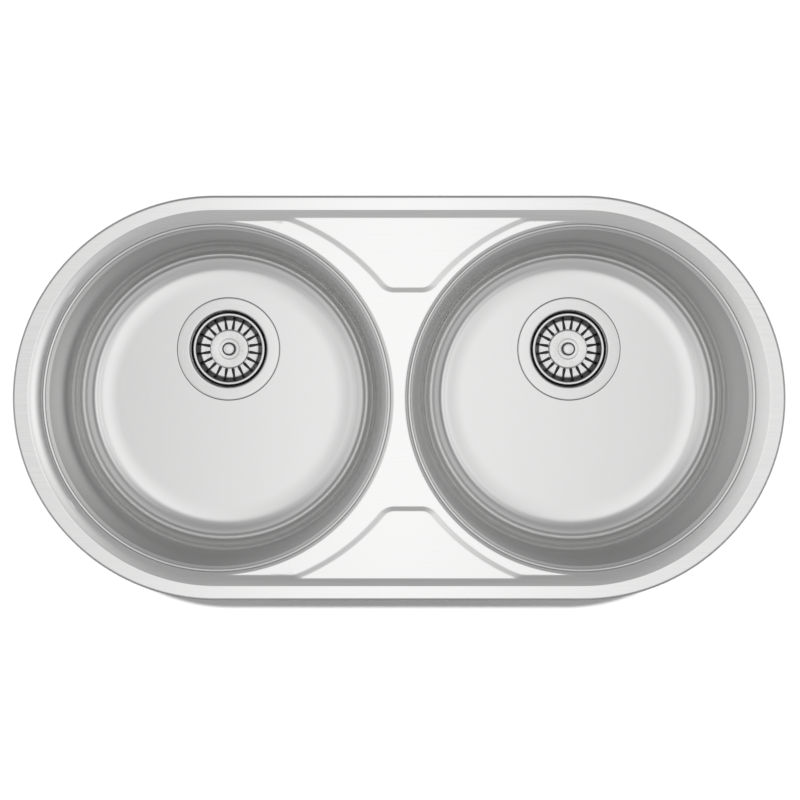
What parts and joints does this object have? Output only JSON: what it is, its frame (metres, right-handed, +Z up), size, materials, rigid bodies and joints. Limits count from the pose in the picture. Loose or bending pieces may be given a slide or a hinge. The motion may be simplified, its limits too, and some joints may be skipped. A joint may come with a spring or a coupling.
{
  "type": "double bowl kitchen sink",
  "caption": "Inset stainless kitchen sink: round bowls side by side in a stadium rim, with lift-out basket strainers and swinging screw clips under the edge.",
  "frame": {"origin": "middle of the worktop cut-out, on the plane of the worktop top face that the rim seal rests on", "axes": "+X along the sink towards the right bowl, +Y to the rear, where the wastes lie, +Z up out of the worktop"},
  "size_m": [0.84, 0.44, 0.226],
  "materials": {
    "stainless_satin": "fine satin brushed stainless steel sheet",
    "stainless_polished": "pressed and lightly polished stainless steel",
    "zinc_steel": "zinc plated steel strip",
    "black_rubber": "matt moulded rubber",
    "grey_foam": "closed cell foam strip",
    "bitumen": "matt bitumen damping pad",
    "white_polypropylene": "moulded polypropylene"
  },
  "bodies": {
    "sink": {"deck_plate": "stainless_satin", "rim_seal": "grey_foam", "bowl_left": "stainless_satin", "sound_pad_left": "bitumen", "strainer_flange_left": "stainless_polished", "flange_gasket_left": "black_rubber", "waste_gasket_left": "black_rubber", "waste_body_left": "white_polypropylene", "waste_screw_left": "stainless_polished", "bowl_right": "stainless_satin", "sound_pad_right": "bitumen", "strainer_flange_right": "stainless_polished", "flange_gasket_right": "black_rubber", "waste_gasket_right": "black_rubber", "waste_body_right": "white_polypropylene", "waste_screw_right": "stainless_polished", "clip_1_bracket": "zinc_steel", "clip_2_bracket": "zinc_steel", "clip_3_bracket": "zinc_steel", "clip_4_bracket": "zinc_steel", "clip_5_bracket": "zinc_steel", "clip_6_bracket": "zinc_steel", "clip_7_bracket": "zinc_steel", "clip_8_bracket": "zinc_steel"},
    "left_basket": {"basket_left": "stainless_polished", "basket_knob_left": "stainless_polished", "basket_pin_left": "stainless_polished", "basket_seal_left": "black_rubber"},
    "right_basket": {"basket_right": "stainless_polished", "basket_knob_right": "stainless_polished", "basket_pin_right": "stainless_polished", "basket_seal_right": "black_rubber"},
    "clip_1_seat": {"clip_1_washer": "zinc_steel"},
    "clip_1_bolt": {"clip_1_screw": "zinc_steel"},
    "clip_1_jaw": {"clip_1_claw": "zinc_steel"},
    "clip_2_seat": {"clip_2_washer": "zinc_steel"},
    "clip_2_bolt": {"clip_2_screw": "zinc_steel"},
    "clip_2_jaw": {"clip_2_claw": "zinc_steel"},
    "clip_3_seat": {"clip_3_washer": "zinc_steel"},
    "clip_3_bolt": {"clip_3_screw": "zinc_steel"},
    "clip_3_jaw": {"clip_3_claw": "zinc_steel"},
    "clip_4_seat": {"clip_4_washer": "zinc_steel"},
    "clip_4_bolt": {"clip_4_screw": "zinc_steel"},
    "clip_4_jaw": {"clip_4_claw": "zinc_steel"},
    "clip_5_seat": {"clip_5_washer": "zinc_steel"},
    "clip_5_bolt": {"clip_5_screw": "zinc_steel"},
    "clip_5_jaw": {"clip_5_claw": "zinc_steel"},
    "clip_6_seat": {"clip_6_washer": "zinc_steel"},
    "clip_6_bolt": {"clip_6_screw": "zinc_steel"},
    "clip_6_jaw": {"clip_6_claw": "zinc_steel"},
    "clip_7_seat": {"clip_7_washer": "zinc_steel"},
    "clip_7_bolt": {"clip_7_screw": "zinc_steel"},
    "clip_7_jaw": {"clip_7_claw": "zinc_steel"},
    "clip_8_seat": {"clip_8_washer": "zinc_steel"},
    "clip_8_bolt": {"clip_8_screw": "zinc_steel"},
    "clip_8_jaw": {"clip_8_claw": "zinc_steel"}
  },
  "joints": [
    {"name": "left_basket_lift", "type": "slide", "parent": "sink", "child": "left_basket", "axis": [0, 0, 1], "range_m": [0, 0.18]},
    {"name": "right_basket_lift", "type": "slide", "parent": "sink", "child": "right_basket", "axis": [0, 0, 1], "range_m": [0, 0.18]},
    {"name": "clip_1_lift", "type": "slide", "parent": "sink", "child": "clip_1_seat", "axis": [0, 0, 1], "range_m": [0, 0.014]},
    {"name": "clip_1_turn", "type": "hinge", "parent": "clip_1_seat", "child": "clip_1_bolt", "pos_m": [0.15, 0.2035, -0.045], "axis": [0, 0, 1], "range_deg": [0, 6301]},
    {"name": "clip_1_swing", "type": "hinge", "parent": "clip_1_seat", "child": "clip_1_jaw", "pos_m": [0.15, 0.2035, -0.045], "axis": [0, 0, 1], "range_deg": [0, 90]},
    {"name": "clip_2_lift", "type": "slide", "parent": "sink", "child": "clip_2_seat", "axis": [0, 0, 1], "range_m": [0, 0.014]},
    {"name": "clip_2_turn", "type": "hinge", "parent": "clip_2_seat", "child": "clip_2_bolt", "pos_m": [0.3667, 0.11672, -0.045], "axis": [0, 0, 1], "range_deg": [0, 6301]},
    {"name": "clip_2_swing", "type": "hinge", "parent": "clip_2_seat", "child": "clip_2_jaw", "pos_m": [0.3667, 0.11672, -0.045], "axis": [0, 0, 1], "range_deg": [0, 90]},
    {"name": "clip_3_lift", "type": "slide", "parent": "sink", "child": "clip_3_seat", "axis": [0, 0, 1], "range_m": [0, 0.014]},
    {"name": "clip_3_turn", "type": "hinge", "parent": "clip_3_seat", "child": "clip_3_bolt", "pos_m": [-0.15, 0.2035, -0.045], "axis": [0, 0, 1], "range_deg": [0, 6301]},
    {"name": "clip_3_swing", "type": "hinge", "parent": "clip_3_seat", "child": "clip_3_jaw", "pos_m": [-0.15, 0.2035, -0.045], "axis": [0, 0, 1], "range_deg": [0, 90]},
    {"name": "clip_4_lift", "type": "slide", "parent": "sink", "child": "clip_4_seat", "axis": [0, 0, 1], "range_m": [0, 0.014]},
    {"name": "clip_4_turn", "type": "hinge", "parent": "clip_4_seat", "child": "clip_4_bolt", "pos_m": [-0.3667, 0.11672, -0.045], "axis": [0, 0, 1], "range_deg": [0, 6301]},
    {"name": "clip_4_swing", "type": "hinge", "parent": "clip_4_seat", "child": "clip_4_jaw", "pos_m": [-0.3667, 0.11672, -0.045], "axis": [0, 0, 1], "range_deg": [0, 90]},
    {"name": "clip_5_lift", "type": "slide", "parent": "sink", "child": "clip_5_seat", "axis": [0, 0, 1], "range_m": [0, 0.014]},
    {"name": "clip_5_turn", "type": "hinge", "parent": "clip_5_seat", "child": "clip_5_bolt", "pos_m": [-0.15, -0.2035, -0.045], "axis": [0, 0, 1], "range_deg": [0, 6301]},
    {"name": "clip_5_swing", "type": "hinge", "parent": "clip_5_seat", "child": "clip_5_jaw", "pos_m": [-0.15, -0.2035, -0.045], "axis": [0, 0, 1], "range_deg": [0, 90]},
    {"name": "clip_6_lift", "type": "slide", "parent": "sink", "child": "clip_6_seat", "axis": [0, 0, 1], "range_m": [0, 0.014]},
    {"name": "clip_6_turn", "type": "hinge", "parent": "clip_6_seat", "child": "clip_6_bolt", "pos_m": [-0.3667, -0.11672, -0.045], "axis": [0, 0, 1], "range_deg": [0, 6301]},
    {"name": "clip_6_swing", "type": "hinge", "parent": "clip_6_seat", "child": "clip_6_jaw", "pos_m": [-0.3667, -0.11672, -0.045], "axis": [0, 0, 1], "range_deg": [0, 90]},
    {"name": "clip_7_lift", "type": "slide", "parent": "sink", "child": "clip_7_seat", "axis": [0, 0, 1], "range_m": [0, 0.014]},
    {"name": "clip_7_turn", "type": "hinge", "parent": "clip_7_seat", "child": "clip_7_bolt", "pos_m": [0.15, -0.2035, -0.045], "axis": [0, 0, 1], "range_deg": [0, 6301]},
    {"name": "clip_7_swing", "type": "hinge", "parent": "clip_7_seat", "child": "clip_7_jaw", "pos_m": [0.15, -0.2035, -0.045], "axis": [0, 0, 1], "range_deg": [0, 90]},
    {"name": "clip_8_lift", "type": "slide", "parent": "sink", "child": "clip_8_seat", "axis": [0, 0, 1], "range_m": [0, 0.014]},
    {"name": "clip_8_turn", "type": "hinge", "parent": "clip_8_seat", "child": "clip_8_bolt", "pos_m": [0.3667, -0.11672, -0.045], "axis": [0, 0, 1], "range_deg": [0, 6301]},
    {"name": "clip_8_swing", "type": "hinge", "parent": "clip_8_seat", "child": "clip_8_jaw", "pos_m": [0.3667, -0.11672, -0.045], "axis": [0, 0, 1], "range_deg": [0, 90]}
  ],
  "couplings": [
    {"joint": "clip_1_turn", "follows": "clip_1_lift", "rad_per_m": 7854},
    {"joint": "clip_2_turn", "follows": "clip_2_lift", "rad_per_m": 7854},
    {"joint": "clip_3_turn", "follows": "clip_3_lift", "rad_per_m": 7854},
    {"joint": "clip_4_turn", "follows": "clip_4_lift", "rad_per_m": 7854},
    {"joint": "clip_5_turn", "follows": "clip_5_lift", "rad_per_m": 7854},
    {"joint": "clip_6_turn", "follows": "clip_6_lift", "rad_per_m": 7854},
    {"joint": "clip_7_turn", "follows": "clip_7_lift", "rad_per_m": 7854},
    {"joint": "clip_8_turn", "follows": "clip_8_lift", "rad_per_m": 7854}
  ]
}
